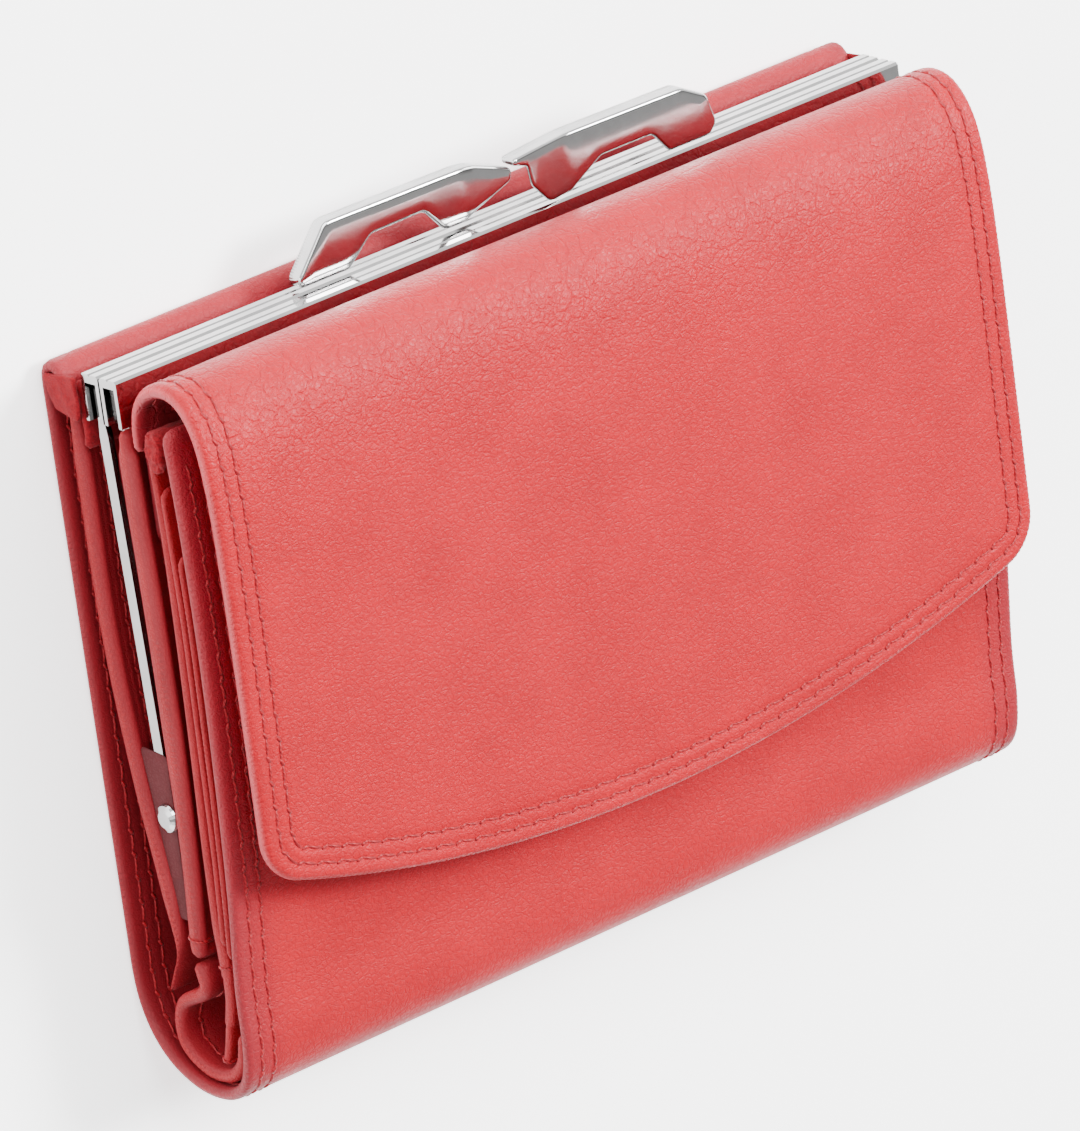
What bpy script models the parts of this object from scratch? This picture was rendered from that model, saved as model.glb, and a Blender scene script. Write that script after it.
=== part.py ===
"""A leather coin purse, closed and lying on its back: outer cover, kiss-lock coin pouch, card section and flap.

Sizes are in millimetres in the purse's own frame, and MM turns them into metres. X runs across the purse from
its middle, Y from the outside of the spine up to the clasp, and Z from the flat back to the flap in front. The
empty named coin_purse moves that frame so that the origin is under the middle of the whole purse.
"""

import math

import bmesh
import bpy
from mathutils import Vector

MM = 0.001

# Overall
COVER_HALF_WIDTH = 62.0
LEAF_HALF_WIDTH = 61.2
SECTION_HALF_WIDTH = 60.8
LINING_HALF_WIDTH = 57.2
FLAP_HALF_WIDTH = 61.0
LEVER_TOP = 98.6
GAP = 0.3

# Joint axes, all along X, as (y, z)
COIN_HINGE = (35.0, 10.6)
SECTION_HINGE = (10.0, 5.0)
FLAP_ROOT_HINGE = (82.0, 15.2)
FLAP_HINGE = (84.5, 21.5)

# Outer cover
COVER_THICKNESS = 1.6
REAR_COVER_BOTTOM = 13.5
REAR_COVER_TOP = 88.6
COVER_TOP = 91.3
SPINE_PATH = [
    (13.2, 0.82), (9.5, 1.5), (6.0, 3.2), (3.2, 5.9), (1.4, 9.6), (0.8, 13.5), (1.6, 17.0), (4.0, 19.6), (8.7, 20.5),
]
FRONT_COVER_PATH = [(9.0, 20.55), (16.0, 20.7), (29.0, 22.0), (45.0, 22.9), (60.0, 23.3), (75.0, 23.1), (85.5, 22.5)]

# Bill divider and the folded slack of its leather at the spine
LEAF_B_PATH = [(88.4, 4.2), (74.0, 4.2), (60.0, 4.2), (50.0, 4.8), (38.0, 6.2), (28.0, 8.0), (20.5, 9.7)]
LEAF_B_THICKNESS = 2.2
FOLD_PATH = [
    (18.3, 11.0), (15.6, 12.7), (13.4, 12.3), (12.6, 9.6), (11.0, 7.2), (8.0, 6.6), (5.2, 8.8), (3.8, 12.5),
    (4.2, 15.8), (6.0, 18.0), (8.9, 18.9),
]
FOLD_THICKNESS = 1.3

# Coin pouch
REAR_LINING_PATH = [
    (84.2, 8.9), (80.0, 7.6), (74.0, 6.1), (60.0, 5.9), (50.0, 6.5), (38.0, 7.9), (27.0, 9.9),
]
LINING_THICKNESS = 0.6
FRONT_LINING_Z = 12.0
POUCH_LEAF_BACK = 12.7
POUCH_LEAF_FRONT = 15.1
POUCH_LEAF_TOP_FRONT = 13.8
POUCH_LEAF_STEP = 69.0
POUCH_LEAF_BOTTOM = 38.8
POUCH_LEAF_TOP = 84.2

# Metal frame
RAIL_HALF_WIDTH = 61.25
RAIL_BOTTOM = 84.6
RAIL_TOP = 90.5
RAIL_WALL = 0.55
REAR_RAIL_BACK = 7.4
FRONT_RAIL_BACK = 10.8
RAIL_DEPTH = 3.1
ARM_WIDTH = 1.6
ARM_THICKNESS = 0.8
ARM_TONGUE_WIDTH = 1.1
REAR_ARM_X = 59.6
FRONT_ARM_X = 58.5
EYE_RADIUS = 1.7
EYE_HOLE_RADIUS = 1.0
RIVET_RADIUS = 0.7
RIVET_HEAD_RADIUS = 1.8

# Levers
LEVER_FOOT = 90.8
LEVER_SHEET = 0.8
LEVER_MIDDLE = 61.9
NOSE_CREASE = 60.5
NOSE_FORWARD = 0.6

# Flap
FLAP_LOWEST = 20.8
FLAP_EDGE_RADIUS = 187.0
FLAP_CORNER_RADIUS = 6.5
FLAP_BACK = 26.6
FLAP_LINING_FRONT = 27.6
FLAP_PANEL_BACK = 27.9
FLAP_FRONT = 29.5
FLAP_TOP = 83.3
BEND_PATH = [
    (85.6, 15.4), (88.2, 16.6), (90.2, 18.8), (91.0, 21.5), (90.4, 24.4), (88.3, 26.9), (85.6, 28.4), (83.7, 28.7),
]
BEND_THICKNESS = 1.6

# Press stud, on the middle line
STUD_Y = 33.0

LEATHER = (0.70, 0.045, 0.055)
LEATHER_EDGE = (0.50, 0.025, 0.035)
LINING_LEATHER = (0.45, 0.02, 0.03)
NICKEL = (0.80, 0.79, 0.77)

PIVOTS = {
    "root": (0.0, 0.0),
    "coin_front": COIN_HINGE,
    "front_section": SECTION_HINGE,
    "flap_root": FLAP_ROOT_HINGE,
    "flap": FLAP_HINGE,
}
PARENTS = {"coin_front": "root", "front_section": "root", "flap_root": "coin_front", "flap": "flap_root"}


def clear_scene():
    for obj in list(bpy.data.objects):
        bpy.data.objects.remove(obj, do_unlink=True)


def make_pivots():
    """An empty for each body, on that body's joint axis."""
    pivots = {}
    for body, (y, z) in PIVOTS.items():
        empty = bpy.data.objects.new("coin_purse" if body == "root" else body + "_pivot", None)
        bpy.context.collection.objects.link(empty)
        if body == "root":
            empty.location = (0.0, -LEVER_TOP / 2 * MM, 0.0)
        else:
            parent_y, parent_z = PIVOTS[PARENTS[body]]
            empty.parent = pivots[PARENTS[body]]
            empty.location = (0.0, (y - parent_y) * MM, (z - parent_z) * MM)
        pivots[body] = empty
    return pivots


def material(name, colour, roughness, metallic):
    made = bpy.data.materials.new(name)
    made.use_nodes = True
    shader = made.node_tree.nodes["Principled BSDF"]
    shader.inputs["Base Color"].default_value = (*colour, 1.0)
    shader.inputs["Roughness"].default_value = roughness
    shader.inputs["Metallic"].default_value = metallic
    return made


def smooth_path(points, steps=4):
    """A Catmull-Rom curve through the points, with this many steps between each two."""
    ends = [points[0]] + list(points) + [points[-1]]
    path = []
    for a, b, c, d in zip(ends, ends[1:], ends[2:], ends[3:]):
        for step in range(steps):
            t = step / steps
            path.append(tuple(
                0.5 * (2 * q + (r - p) * t + (2 * p - 5 * q + 4 * r - s) * t**2 + (3 * q - p - 3 * r + s) * t**3)
                for p, q, r, s in zip(a, b, c, d)
            ))
    return path + [tuple(points[-1])]


def sheet_outline(path, thickness):
    """The closed outline of a sheet of this thickness that follows a path in a plane."""
    left = []
    right = []
    for i, point in enumerate(path):
        before = path[max(i - 1, 0)]
        after = path[min(i + 1, len(path) - 1)]
        direction = Vector(after) - Vector(before)
        normal = Vector((-direction[1], direction[0])).normalized() * thickness / 2
        left.append(tuple(Vector(point) + normal))
        right.append(tuple(Vector(point) - normal))
    return left + right[::-1]


def rounded_outline(corners, steps=4):
    """An outline whose corners, given as (x, y, radius), are rounded by arcs."""
    outline = []
    for i, (x, y, radius) in enumerate(corners):
        corner = Vector((x, y))
        if radius == 0:
            outline.append((x, y))
            continue
        before = (Vector(corners[i - 1][:2]) - corner).normalized()
        after = (Vector(corners[(i + 1) % len(corners)][:2]) - corner).normalized()
        half_angle = before.angle(after) / 2
        centre = corner + (before + after).normalized() * radius / math.sin(half_angle)
        start = corner + before * radius / math.tan(half_angle) - centre
        turn = start.angle_signed(corner + after * radius / math.tan(half_angle) - centre)
        for step in range(steps + 1):
            angle = -turn * step / steps
            outline.append((
                centre[0] + start[0] * math.cos(angle) - start[1] * math.sin(angle),
                centre[1] + start[0] * math.sin(angle) + start[1] * math.cos(angle),
            ))
    return outline


def circle(centre, radius, count=24):
    turns = [2 * math.pi * i / count for i in range(count)]
    return [(centre[0] + radius * math.cos(a), centre[1] + radius * math.sin(a)) for a in turns]


def prism(outline, axis, low, high):
    """A closed mesh: an outline in the plane across an axis, extruded along the axis from low to high.

    Across X the outline is (y, z), across Y it is (x, z), and across Z it is (x, y).
    """
    order = {"X": lambda a, b, h: (h, a, b), "Y": lambda a, b, h: (a, h, b), "Z": lambda a, b, h: (a, b, h)}[axis]
    shape = bmesh.new()
    rings = [[shape.verts.new(Vector(order(a, b, h)) * MM) for a, b in outline] for h in (low, high)]
    shape.faces.new(rings[0])
    shape.faces.new(rings[1])
    count = len(outline)
    for i in range(count):
        j = (i + 1) % count
        shape.faces.new((rings[0][i], rings[0][j], rings[1][j], rings[1][i]))
    bmesh.ops.recalc_face_normals(shape, faces=shape.faces)
    return shape


def make_object(name, shape, look, bevel=0.0):
    """An object from a bmesh, shaded smooth with sharp edges, at the purse frame's origin."""
    mesh = bpy.data.meshes.new(name)
    shape.to_mesh(mesh)
    shape.free()
    mesh.shade_smooth()
    mesh.set_sharp_from_angle(angle=math.radians(40))
    obj = bpy.data.objects.new(name, mesh)
    bpy.context.collection.objects.link(obj)
    mesh.materials.append(look)
    if bevel:
        edges = obj.modifiers.new("rounded_edges", "BEVEL")
        edges.width = bevel * MM
        edges.segments = 2
        edges.limit_method = "ANGLE"
        edges.angle_limit = math.radians(50)
    return obj


def place(obj, body, pivots):
    """Parents an object to its body's pivot, and keeps its mesh in the purse's frame."""
    y, z = PIVOTS[body]
    obj.parent = pivots[body]
    obj.location = (0.0, -y * MM, -z * MM)
    return obj


def boolean(obj, other, operation):
    """Joins or cuts with a helper object, which stays hidden."""
    change = obj.modifiers.new(operation.lower(), "BOOLEAN")
    change.operation = operation
    change.solver = "EXACT"
    change.object = other
    other.hide_render = True
    other.display_type = "WIRE"


def helper(name, shape, body, pivots, look):
    obj = place(make_object(name, shape, look), body, pivots)
    obj.hide_render = True
    obj.display_type = "WIRE"
    return obj


def height_on(path, y):
    """The z of a path at this y, between its points."""
    ordered = sorted(path)
    for (y0, z0), (y1, z1) in zip(ordered, ordered[1:]):
        if y <= y1:
            return z0 + (z1 - z0) * (y - y0) / (y1 - y0)
    return ordered[-1][1]


def leather_sheet(name, path, thickness, half_width, look, steps=4):
    return make_object(name, prism(sheet_outline(smooth_path(path, steps), thickness), "X", -half_width, half_width), look)


def make_outer_cover(pivots, looks):
    straight = [(REAR_COVER_BOTTOM, COVER_THICKNESS / 2), (REAR_COVER_TOP, COVER_THICKNESS / 2)]
    outline = sheet_outline(straight, COVER_THICKNESS)
    rear = make_object("rear_cover", prism(outline, "X", -COVER_HALF_WIDTH, COVER_HALF_WIDTH), looks["leather"])
    place(rear, "root", pivots)
    spine = leather_sheet("spine_wrap", SPINE_PATH, COVER_THICKNESS, COVER_HALF_WIDTH, looks["leather"])
    place(spine, "root", pivots)
    hem_outline = rounded_outline([
        (REAR_COVER_TOP + GAP, 0.0, 0.0), (COVER_TOP, 0.0, 1.6), (COVER_TOP, 5.3, 1.6), (REAR_COVER_TOP + GAP, 5.3, 0.0),
    ])
    hem = make_object("cover_top_hem", prism(hem_outline, "X", -COVER_HALF_WIDTH, COVER_HALF_WIDTH), looks["leather"])
    place(hem, "root", pivots)
    welt_outline = [(80.5, 5.9), (88.5, 5.9), (88.5, 7.0), (80.5, 7.0)]
    welt = make_object("rear_frame_welt", prism(welt_outline, "X", -LEAF_HALF_WIDTH, LEAF_HALF_WIDTH), looks["edge"])
    place(welt, "root", pivots)


def make_bill_divider(pivots, looks):
    rear = leather_sheet("bill_divider_rear", LEAF_B_PATH, LEAF_B_THICKNESS, LEAF_HALF_WIDTH, looks["leather"], 2)
    place(rear, "root", pivots)
    fold = leather_sheet("bill_divider_fold", FOLD_PATH, FOLD_THICKNESS, LEAF_HALF_WIDTH, looks["leather"], 3)
    place(fold, "root", pivots)


def section_leaf_path(bottom, top, offset_low, offset_high):
    """A leaf that lies behind the front cover, closer to it at the spine than at the top."""
    low_y = 12.0
    high_y = 45.0
    path = []
    for y in [bottom, 20.0, 32.0, 45.0, 60.0, top]:
        share = min(max((y - low_y) / (high_y - low_y), 0.0), 1.0)
        path.append((y, height_on(FRONT_COVER_PATH, y) - offset_low - (offset_high - offset_low) * share))
    return path


def make_front_section(pivots, looks):
    cover = leather_sheet("front_cover", FRONT_COVER_PATH, COVER_THICKNESS, COVER_HALF_WIDTH, looks["leather"], 2)
    place(cover, "front_section", pivots)
    leaves = [
        ("bill_divider_front", 9.4, 84.6, 1.5, 1.7, 0.9),
        ("card_pocket_3", 11.0, 70.0, 2.65, 3.0, 0.8),
        ("card_pocket_2", 13.0, 78.0, 3.75, 4.2, 0.8),
        ("card_pocket_1", 16.0, 84.9, 5.1, 5.6, 1.3),
    ]
    for name, bottom, top, offset_low, offset_high, thickness in leaves:
        path = section_leaf_path(bottom, top, offset_low, offset_high)
        leaf = leather_sheet(name, path, thickness, SECTION_HALF_WIDTH, looks["leather"], 2)
        place(leaf, "front_section", pivots)
    binding_outline = [(85.3, 17.1), (86.2, 17.1), (86.2, 20.6), (85.3, 20.6)]
    binding = make_object(
        "pocket_binding", prism(binding_outline, "X", -SECTION_HALF_WIDTH, SECTION_HALF_WIDTH), looks["edge"], 0.2
    )
    place(binding, "front_section", pivots)


def make_coin_pouch(pivots, looks):
    rear = leather_sheet(
        "coin_pouch_rear_lining", REAR_LINING_PATH, LINING_THICKNESS, LINING_HALF_WIDTH, looks["lining"], 2
    )
    place(rear, "root", pivots)
    lining_path = [(POUCH_LEAF_BOTTOM, FRONT_LINING_Z), (POUCH_LEAF_TOP, FRONT_LINING_Z)]
    lining_outline = sheet_outline(lining_path, LINING_THICKNESS)
    front = make_object(
        "coin_pouch_front_lining", prism(lining_outline, "X", -LINING_HALF_WIDTH, LINING_HALF_WIDTH), looks["lining"]
    )
    place(front, "coin_front", pivots)
    leaf_outline = [
        (POUCH_LEAF_BOTTOM, POUCH_LEAF_BACK), (POUCH_LEAF_TOP, POUCH_LEAF_BACK),
        (POUCH_LEAF_TOP, POUCH_LEAF_TOP_FRONT), (POUCH_LEAF_STEP, POUCH_LEAF_TOP_FRONT),
        (POUCH_LEAF_STEP, POUCH_LEAF_FRONT), (POUCH_LEAF_BOTTOM, POUCH_LEAF_FRONT),
    ]
    leaf = make_object(
        "coin_front_leaf", prism(leaf_outline, "X", -LEAF_HALF_WIDTH, LEAF_HALF_WIDTH), looks["leather"], 0.25
    )
    place(leaf, "coin_front", pivots)
    lower_outline = sheet_outline([(19.6, 12.9), (33.0, 13.7)], 2.2)
    lower = make_object(
        "coin_front_leaf_lower", prism(lower_outline, "X", -LEAF_HALF_WIDTH, LEAF_HALF_WIDTH), looks["leather"], 0.25
    )
    place(lower, "root", pivots)
    for side, sign in (("left", -1), ("right", 1)):
        fold = [(sign * 57.0, 7.5), (sign * 53.8, 9.3), (sign * 57.0, 11.1)]
        gusset = make_object(
            "coin_pouch_gusset_" + side, prism(sheet_outline(fold, 0.5), "Y", 50.5, 76.0), looks["lining"]
        )
        place(gusset, "root", pivots)


def rail_outline(back):
    """A channel that opens downwards, with a shallow groove along its top."""
    front = back + RAIL_DEPTH
    middle = back + RAIL_DEPTH / 2
    groove = 0.25
    return [
        (RAIL_BOTTOM, back), (RAIL_TOP - 0.3, back), (RAIL_TOP, back + 0.3), (RAIL_TOP, middle - groove),
        (RAIL_TOP - groove, middle), (RAIL_TOP, middle + groove), (RAIL_TOP, front - 0.3), (RAIL_TOP - 0.3, front),
        (RAIL_BOTTOM, front), (RAIL_BOTTOM, front - RAIL_WALL), (RAIL_TOP - 2 * RAIL_WALL, front - RAIL_WALL),
        (RAIL_TOP - 2 * RAIL_WALL, back + RAIL_WALL), (RAIL_BOTTOM, back + RAIL_WALL),
    ]


def arm_outline(bar):
    """A flat arm seen from the side: a round eye on the hinge, a bar, and a tongue that goes into its rail."""
    eye = []
    steps = 14
    opening = math.asin(ARM_WIDTH / 2 / EYE_RADIUS)
    lean = math.atan2(bar[0][1] - COIN_HINGE[1], bar[0][0] - COIN_HINGE[0])
    for step in range(steps + 1):
        angle = lean + opening + (2 * math.pi - 2 * opening) * step / steps
        eye.append((COIN_HINGE[0] + EYE_RADIUS * math.cos(angle), COIN_HINGE[1] + EYE_RADIUS * math.sin(angle)))
    half = ARM_WIDTH / 2
    tongue = ARM_TONGUE_WIDTH / 2
    back_side = [(y, z - half) for y, z in bar[:-2]] + [(y, z - tongue) for y, z in bar[-2:]]
    front_side = [(y, z + half) for y, z in bar[:-2]] + [(y, z + tongue) for y, z in bar[-2:]]
    return eye + back_side + front_side[::-1]


def make_frame(pivots, looks):
    rails = (("rear_rail", REAR_RAIL_BACK, "root"), ("front_rail", FRONT_RAIL_BACK, "coin_front"))
    for name, back, body in rails:
        rail = make_object(name, prism(rail_outline(back), "X", -RAIL_HALF_WIDTH, RAIL_HALF_WIDTH), looks["nickel"])
        place(rail, body, pivots)
    bars = {
        "rear": [(50.0, 10.1), (82.5, 9.0), (84.4, 8.95), (88.4, 8.95)],
        "front": [(50.0, 11.2), (82.0, 11.6), (84.4, 12.1), (88.4, 12.1)],
    }
    planes = {"rear": (REAR_ARM_X, "root"), "front": (FRONT_ARM_X, "coin_front")}
    for frame, bar in bars.items():
        start, body = planes[frame]
        for side, sign in (("left", -1), ("right", 1)):
            low, high = sorted((sign * start, sign * (start + ARM_THICKNESS)))
            arm = make_object(frame + "_arm_" + side, prism(arm_outline(bar), "X", low, high), looks["nickel"])
            place(arm, body, pivots)
            hole = prism(circle(COIN_HINGE, EYE_HOLE_RADIUS), "X", low - 1.0, high + 1.0)
            boolean(arm, helper("eye_cutter_" + frame + "_" + side, hole, body, pivots, looks["nickel"]), "DIFFERENCE")


def turned(profile, steps=24):
    """A closed mesh turned round the X axis from a profile of (x, radius) points that starts and ends at radius 0."""
    shape = bmesh.new()
    rings = []
    for x, radius in profile:
        if radius == 0:
            rings.append([shape.verts.new((x * MM, 0.0, 0.0))])
            continue
        rings.append([shape.verts.new(Vector((x, a, b)) * MM) for a, b in circle((0.0, 0.0), radius, steps)])
    for ring, following in zip(rings, rings[1:]):
        for i in range(steps):
            j = (i + 1) % steps
            corners = [ring[i % len(ring)], ring[j % len(ring)], following[j % len(following)], following[i % len(following)]]
            shape.faces.new(list(dict.fromkeys(corners)))
    bmesh.ops.recalc_face_normals(shape, faces=shape.faces)
    return shape


def make_rivets(pivots, looks):
    """Each rivet has a domed head outside both arms, a shank through their eyes and a flat tail inside."""
    head = REAR_ARM_X + ARM_THICKNESS + GAP
    tail = FRONT_ARM_X - GAP
    for side, sign in (("left", -1), ("right", 1)):
        profile = [
            (tail - 0.5, 0.0), (tail - 0.5, 1.5), (tail, 1.5), (tail, RIVET_RADIUS), (head, RIVET_RADIUS),
            (head, RIVET_HEAD_RADIUS), (head + 0.3, RIVET_HEAD_RADIUS * 0.92), (head + 0.6, RIVET_HEAD_RADIUS * 0.6),
            (head + 0.7, 0.0),
        ]
        rivet = make_object("hinge_rivet_" + side, turned([(sign * x, r) for x, r in profile]), looks["nickel"])
        rivet.parent = pivots["root"]
        rivet.location = (0.0, COIN_HINGE[0] * MM, COIN_HINGE[1] * MM)


def lever_shape(corners, top_edge, back, front):
    """A finger lever of L section: a front plate and a flange that runs back from its top edge."""
    middle = LEVER_MIDDLE
    plate = rounded_outline([(x - middle, y, r) for x, y, r in corners])
    flange = sheet_outline([(x - middle, y) for x, y in smooth_path(top_edge, 3)], LEVER_SHEET)
    return prism(plate, "Z", front - LEVER_SHEET, front), prism(flange, "Z", back, front)


def bend_nose(shape):
    """Turns the end of the rear lever forward, past its crease."""
    crease = (NOSE_CREASE - LEVER_MIDDLE) * MM
    everything = shape.verts[:] + shape.edges[:] + shape.faces[:]
    bmesh.ops.bisect_plane(shape, geom=everything, plane_co=(crease, 0, 0), plane_no=(1, 0, 0), dist=1e-7)
    for vert in shape.verts:
        if vert.co.x > crease:
            vert.co.z += (vert.co.x - crease) * NOSE_FORWARD
    return shape


def make_levers(pivots, looks):
    rear_corners = [
        (31.0, LEVER_FOOT, 0.4), (39.4, LEVER_FOOT, 1.0), (43.2, 94.0, 1.5), (51.4, 94.1, 1.5),
        (54.6, LEVER_FOOT, 1.6), (58.5, LEVER_FOOT, 2.5), (65.6, 94.6, 0.4), (65.8, 96.3, 0.5),
        (60.5, 97.5, 1.5), (35.9, 97.8, 1.2), (31.0, 92.2, 0.6),
    ]
    rear_top = [(31.6, 92.3), (33.6, 94.9), (36.1, 97.2), (48.0, 97.25), (60.5, 97.05), (65.3, 95.9)]
    front_corners = [
        (68.2, LEVER_FOOT, 1.2), (71.4, LEVER_FOOT, 1.4), (76.2, 93.7, 1.5), (84.4, 93.7, 1.2),
        (86.6, LEVER_FOOT, 1.0), (93.4, LEVER_FOOT, 1.0), (94.4, 92.2, 0.6), (93.3, 96.0, 1.6),
        (89.5, 98.05, 2.0), (66.3, 98.35, 0.0), (66.3, 93.2, 1.0),
    ]
    front_top = [(61.4, 98.2), (66.4, 97.95), (78.0, 97.75), (89.0, 97.65), (91.8, 96.5), (93.2, 94.2)]
    rear_plate, rear_flange = lever_shape(rear_corners, rear_top, 8.0, 10.3)
    front_plate, front_flange = lever_shape(front_corners, front_top, 11.1, 13.7)
    rear_shapes = ("rear_lever", bend_nose(rear_plate), bend_nose(rear_flange), "root")
    front_shapes = ("front_lever", front_plate, front_flange, "coin_front")
    for name, plate, flange, body in (rear_shapes, front_shapes):
        lever = place(make_object(name, plate, looks["nickel"]), body, pivots)
        boolean(lever, helper(name + "_flange_shape", flange, body, pivots, looks["nickel"]), "UNION")


def flap_outline(inset, top):
    """The flap seen from the front: straight sides, rounded corners and a curved lower edge."""
    half = FLAP_HALF_WIDTH - inset
    radius = FLAP_EDGE_RADIUS - inset
    centre_y = FLAP_LOWEST + FLAP_EDGE_RADIUS

    def edge(x):
        return centre_y - math.sqrt(radius**2 - x**2)

    arc_half = half - 5.0
    steps = 12
    corners = [(-half, top, 0.0), (-half, edge(half), FLAP_CORNER_RADIUS)]
    for step in range(steps + 1):
        x = -arc_half + 2 * arc_half * step / steps
        corners.append((x, edge(x), 0.0))
    corners += [(half, edge(half), FLAP_CORNER_RADIUS), (half, top, 0.0)]
    return rounded_outline(corners, 6)


def make_flap(pivots, looks):
    hem_outline = [(70.0, 14.15), (81.6, 14.15), (81.6, 15.7), (70.0, 15.7)]
    hem = make_object("flap_hem", prism(hem_outline, "X", -FLAP_HALF_WIDTH, FLAP_HALF_WIDTH), looks["leather"], 0.2)
    place(hem, "coin_front", pivots)
    leg_outline = [(82.4, 14.6), (85.2, 14.7), (85.2, 15.9), (82.4, 15.9)]
    leg = make_object("flap_rear_leg", prism(leg_outline, "X", -FLAP_HALF_WIDTH, FLAP_HALF_WIDTH), looks["leather"])
    place(leg, "flap_root", pivots)
    bend = leather_sheet("flap_bend", BEND_PATH, BEND_THICKNESS, FLAP_HALF_WIDTH, looks["leather"])
    place(bend, "flap_root", pivots)
    panel_shape = prism(flap_outline(0.0, FLAP_TOP), "Z", FLAP_PANEL_BACK, FLAP_FRONT)
    place(make_object("flap_panel", panel_shape, looks["leather"], 0.4), "flap", pivots)
    lining_shape = prism(flap_outline(2.5, FLAP_TOP - 0.3), "Z", FLAP_BACK, FLAP_LINING_FRONT)
    place(make_object("flap_lining", lining_shape, looks["lining"]), "flap", pivots)


def make_press_stud(pivots, looks):
    cover_face = height_on(FRONT_COVER_PATH, STUD_Y) + COVER_THICKNESS / 2
    post_base = cover_face + 0.5
    post = prism(circle((0.0, STUD_Y), 4.0), "Z", post_base, post_base + 0.5)
    post_object = place(make_object("stud_post", post, looks["nickel"]), "front_section", pivots)
    knob = prism(circle((0.0, STUD_Y), 1.8, 16), "Z", post_base + 0.2, post_base + 1.1)
    boolean(post_object, helper("stud_knob_shape", knob, "front_section", pivots, looks["nickel"]), "UNION")
    socket = prism(circle((0.0, STUD_Y), 5.0), "Z", FLAP_BACK - GAP - 0.7, FLAP_BACK - GAP)
    socket_object = place(make_object("stud_socket", socket, looks["nickel"]), "flap", pivots)
    mouth = prism(circle((0.0, STUD_Y), 2.2, 16), "Z", FLAP_BACK - GAP - 1.2, FLAP_BACK - GAP - 0.3)
    boolean(socket_object, helper("stud_mouth_cutter", mouth, "flap", pivots, looks["nickel"]), "DIFFERENCE")


def main():
    clear_scene()
    looks = {
        "leather": material("leather", LEATHER, 0.45, 0.0),
        "edge": material("leather_edge", LEATHER_EDGE, 0.6, 0.0),
        "lining": material("lining_leather", LINING_LEATHER, 0.6, 0.0),
        "nickel": material("nickel", NICKEL, 0.12, 1.0),
    }
    pivots = make_pivots()
    make_outer_cover(pivots, looks)
    make_bill_divider(pivots, looks)
    make_front_section(pivots, looks)
    make_coin_pouch(pivots, looks)
    make_frame(pivots, looks)
    make_rivets(pivots, looks)
    make_levers(pivots, looks)
    make_flap(pivots, looks)
    make_press_stud(pivots, looks)


main()
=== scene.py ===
"""The looks of a red leather coin purse, closed and lying on its back.

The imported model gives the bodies, the joints and the metal parts. This script cuts each leather sheet as a
flat pattern, lays it along its profile, rounds its edges, sews it, and gives every piece its material.

Sizes are in millimetres in the purse's own frame: X runs across from the middle, Y from the outside of the
spine up to the clasp, and Z from the flat back to the flap in front.
"""

import math

import bmesh
import bpy
import numpy as np
from mathutils import Matrix, Vector, noise
from mathutils.geometry import delaunay_2d_cdt
from mathutils.kdtree import KDTree


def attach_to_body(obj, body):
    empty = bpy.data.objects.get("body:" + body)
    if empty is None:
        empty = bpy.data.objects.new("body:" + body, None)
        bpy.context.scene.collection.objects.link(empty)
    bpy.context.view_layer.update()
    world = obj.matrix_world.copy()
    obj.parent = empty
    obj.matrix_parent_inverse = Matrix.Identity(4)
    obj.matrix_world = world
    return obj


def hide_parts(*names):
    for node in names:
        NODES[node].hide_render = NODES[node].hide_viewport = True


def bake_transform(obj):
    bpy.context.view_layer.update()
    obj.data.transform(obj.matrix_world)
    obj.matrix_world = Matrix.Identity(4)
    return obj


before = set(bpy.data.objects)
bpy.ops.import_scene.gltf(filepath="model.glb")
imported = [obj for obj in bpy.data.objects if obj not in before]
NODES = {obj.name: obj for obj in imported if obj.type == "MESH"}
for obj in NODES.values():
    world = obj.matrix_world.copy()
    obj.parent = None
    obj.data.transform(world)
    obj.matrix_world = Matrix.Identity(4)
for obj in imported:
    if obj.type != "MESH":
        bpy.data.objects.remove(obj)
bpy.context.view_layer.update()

MM = 0.001
ORIGIN_Y = 49.3

SIDES = (("left", -1), ("right", 1))

# Pieces of leather, as (y, z) along the middle of each sheet
COVER_PATH = [
    (87.3, 4.25), (88.7, 4.05), (89.85, 3.4), (90.35, 2.4), (89.9, 1.4), (88.4, 0.98), (84.0, 0.96),
    (70.0, 0.96), (50.0, 0.96), (30.0, 0.96), (18.0, 0.96), (13.2, 1.0), (9.5, 1.6), (6.0, 3.2), (3.2, 5.9),
    (1.4, 9.6), (0.85, 13.5), (1.6, 17.0), (4.0, 19.5), (8.7, 20.5), (16.0, 20.7), (29.0, 22.0), (45.0, 22.9),
    (60.0, 23.3), (75.0, 23.1), (86.2, 22.4),
]
DIVIDER_REAR_PATH = [
    (85.8, 4.3), (82.0, 4.25), (74.0, 4.2), (60.0, 4.2), (50.0, 4.8), (38.0, 6.2), (28.0, 7.9), (21.5, 8.9),
    (18.5, 9.2), (16.6, 8.8), (14.4, 7.7), (12.0, 6.5),
]
FOLD_PATH = [
    (16.9, 12.2), (15.3, 12.75), (13.8, 12.95), (12.6, 11.7), (11.8, 9.8), (10.6, 7.9), (8.3, 6.95),
    (5.6, 7.2), (3.9, 8.9), (2.85, 11.4), (2.75, 13.6), (3.4, 16.0), (5.5, 17.95), (9.2, 18.85),
]
POUCH_FRONT_PATH = [
    (84.2, 13.2), (78.0, 13.2), (72.0, 13.3), (66.0, 13.5), (55.0, 13.65), (45.0, 13.65), (38.0, 13.6),
    (31.0, 13.4), (25.0, 13.0), (17.4, 12.3),
]
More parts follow.
